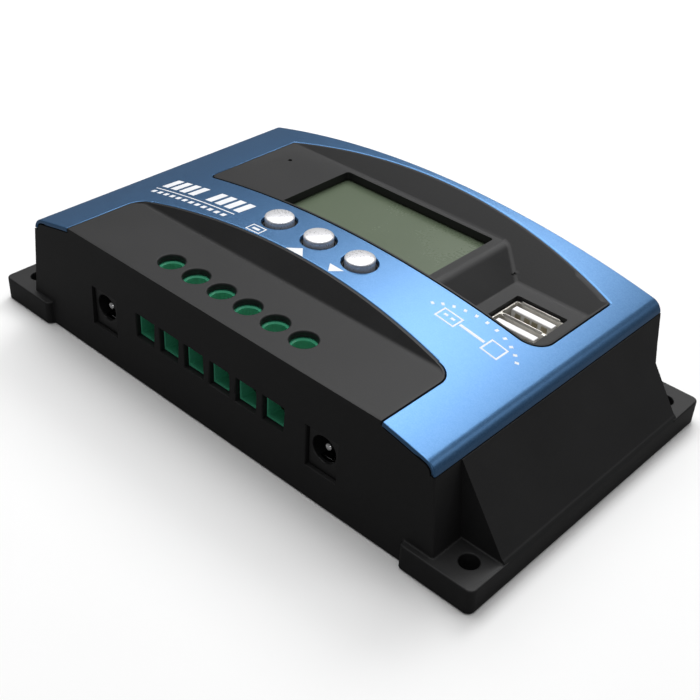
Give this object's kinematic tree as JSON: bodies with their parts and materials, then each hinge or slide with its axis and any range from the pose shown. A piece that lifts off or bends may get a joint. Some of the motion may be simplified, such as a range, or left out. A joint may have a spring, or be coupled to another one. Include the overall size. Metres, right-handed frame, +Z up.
{
  "type": "solar charge controller",
  "caption": "Arched plastic housing with corner ears, recessed display, push buttons, USB pocket, barrel sockets and a row of screw terminals with rising clamps.",
  "frame": {"origin": "centre of the footprint over the four ears, on the surface the unit rests on", "axes": "+X along the long side towards the USB pocket, -Y the terminal side, +Z up out of the display"},
  "size_m": [0.15, 0.084, 0.036],
  "materials": {
    "housing_black": "fine-textured moulded black plastic, slightly shiny on edges",
    "fascia_blue": "satin metallic blue paint with fine grain",
    "plate_metal": "plain mill finish",
    "screw_steel": "zinc-plated",
    "board_green": "solder-masked board",
    "terminal_green": "moulded green nylon, slightly translucent",
    "contact_brass": "tinned brass",
    "socket_black": "moulded black",
    "contact_chrome": "bright nickel",
    "shell_steel": "folded plated steel",
    "insulator_white": "moulded white",
    "lcd_glass": "grey-green display, semi-gloss",
    "button_silver": "silver painted, satin",
    "chip_black": "moulded epoxy",
    "ferrite_grey": "ferrite",
    "sleeve_blue": "shrink sleeve"
  },
  "bodies": {
    "root": {"main_housing": "housing_black", "top_fascia": "fascia_blue", "base_plate": "plate_metal", "base_screw_1": "screw_steel", "base_screw_2": "screw_steel", "base_screw_3": "screw_steel", "base_screw_4": "screw_steel", "main_board": "board_green", "board_screw_1": "screw_steel", "board_screw_2": "screw_steel", "board_screw_3": "screw_steel", "board_screw_4": "screw_steel", "terminal_block": "terminal_green", "busbar_1": "contact_brass", "busbar_2": "contact_brass", "busbar_3": "contact_brass", "busbar_4": "contact_brass", "busbar_5": "contact_brass", "busbar_6": "contact_brass", "socket_left": "socket_black", "socket_pin_left": "contact_chrome", "socket_leaf_left": "contact_chrome", "socket_right": "socket_black", "socket_pin_right": "contact_chrome", "socket_leaf_right": "contact_chrome", "usb_shell": "shell_steel", "usb_tongue_back": "insulator_white", "usb_tongue_front": "insulator_white", "display_board": "board_green", "display_screw_1": "screw_steel", "display_screw_2": "screw_steel", "display_screw_3": "screw_steel", "display_screw_4": "screw_steel", "lcd_panel": "lcd_glass", "lcd_backlight": "insulator_white", "tact_switch_1": "chip_black", "tact_switch_2": "chip_black", "tact_switch_3": "chip_black", "power_inductor": "ferrite_grey", "capacitor_1": "sleeve_blue", "capacitor_2": "sleeve_blue", "heat_sink": "plate_metal", "mosfet_1": "chip_black", "mosfet_2": "chip_black", "control_chip": "chip_black"},
    "button_1": {"button_1": "button_silver"},
    "button_2": {"button_2": "button_silver"},
    "button_3": {"button_3": "button_silver"},
    "screw_1": {"terminal_screw_1": "screw_steel"},
    "clamp_1": {"terminal_clamp_1": "contact_brass"},
    "screw_2": {"terminal_screw_2": "screw_steel"},
    "clamp_2": {"terminal_clamp_2": "contact_brass"},
    "screw_3": {"terminal_screw_3": "screw_steel"},
    "clamp_3": {"terminal_clamp_3": "contact_brass"},
    "screw_4": {"terminal_screw_4": "screw_steel"},
    "clamp_4": {"terminal_clamp_4": "contact_brass"},
    "screw_5": {"terminal_screw_5": "screw_steel"},
    "clamp_5": {"terminal_clamp_5": "contact_brass"},
    "screw_6": {"terminal_screw_6": "screw_steel"},
    "clamp_6": {"terminal_clamp_6": "contact_brass"}
  },
  "joints": [
    {"name": "button_1_press", "type": "slide", "parent": "root", "child": "button_1", "axis": [0, 0, -1], "range_m": [0, 0.0004], "stiffness_N_per_m": 2500},
    {"name": "button_2_press", "type": "slide", "parent": "root", "child": "button_2", "axis": [0, 0, -1], "range_m": [0, 0.0004], "stiffness_N_per_m": 2500},
    {"name": "button_3_press", "type": "slide", "parent": "root", "child": "button_3", "axis": [0, 0, -1], "range_m": [0, 0.0004], "stiffness_N_per_m": 2500},
    {"name": "screw_1_turn", "type": "hinge", "parent": "root", "child": "screw_1", "pos_m": [-0.02092, -0.0314, 0.0245], "axis": [0, 0, -1], "range_deg": [0, 1080]},
    {"name": "clamp_1_rise", "type": "slide", "parent": "root", "child": "clamp_1", "axis": [0, 0, 1], "range_m": [0, 0.0021]},
    {"name": "screw_2_turn", "type": "hinge", "parent": "root", "child": "screw_2", "pos_m": [-0.01268, -0.0314, 0.0245], "axis": [0, 0, -1], "range_deg": [0, 1080]},
    {"name": "clamp_2_rise", "type": "slide", "parent": "root", "child": "clamp_2", "axis": [0, 0, 1], "range_m": [0, 0.0021]},
    {"name": "screw_3_turn", "type": "hinge", "parent": "root", "child": "screw_3", "pos_m": [-0.00443, -0.0314, 0.0245], "axis": [0, 0, -1], "range_deg": [0, 1080]},
    {"name": "clamp_3_rise", "type": "slide", "parent": "root", "child": "clamp_3", "axis": [0, 0, 1], "range_m": [0, 0.0021]},
    {"name": "screw_4_turn", "type": "hinge", "parent": "root", "child": "screw_4", "pos_m": [0.00382, -0.0314, 0.0245], "axis": [0, 0, -1], "range_deg": [0, 1080]},
    {"name": "clamp_4_rise", "type": "slide", "parent": "root", "child": "clamp_4", "axis": [0, 0, 1], "range_m": [0, 0.0021]},
    {"name": "screw_5_turn", "type": "hinge", "parent": "root", "child": "screw_5", "pos_m": [0.01208, -0.0314, 0.0245], "axis": [0, 0, -1], "range_deg": [0, 1080]},
    {"name": "clamp_5_rise", "type": "slide", "parent": "root", "child": "clamp_5", "axis": [0, 0, 1], "range_m": [0, 0.0021]},
    {"name": "screw_6_turn", "type": "hinge", "parent": "root", "child": "screw_6", "pos_m": [0.02032, -0.0314, 0.0245], "axis": [0, 0, -1], "range_deg": [0, 1080]},
    {"name": "clamp_6_rise", "type": "slide", "parent": "root", "child": "clamp_6", "axis": [0, 0, 1], "range_m": [0, 0.0021]}
  ],
  "couplings": [
    {"joint": "screw_1_turn", "follows": "clamp_1_rise", "rad_per_m": 8975.9},
    {"joint": "screw_2_turn", "follows": "clamp_2_rise", "rad_per_m": 8975.9},
    {"joint": "screw_3_turn", "follows": "clamp_3_rise", "rad_per_m": 8975.9},
    {"joint": "screw_4_turn", "follows": "clamp_4_rise", "rad_per_m": 8975.9},
    {"joint": "screw_5_turn", "follows": "clamp_5_rise", "rad_per_m": 8975.9},
    {"joint": "screw_6_turn", "follows": "clamp_6_rise", "rad_per_m": 8975.9}
  ]
}
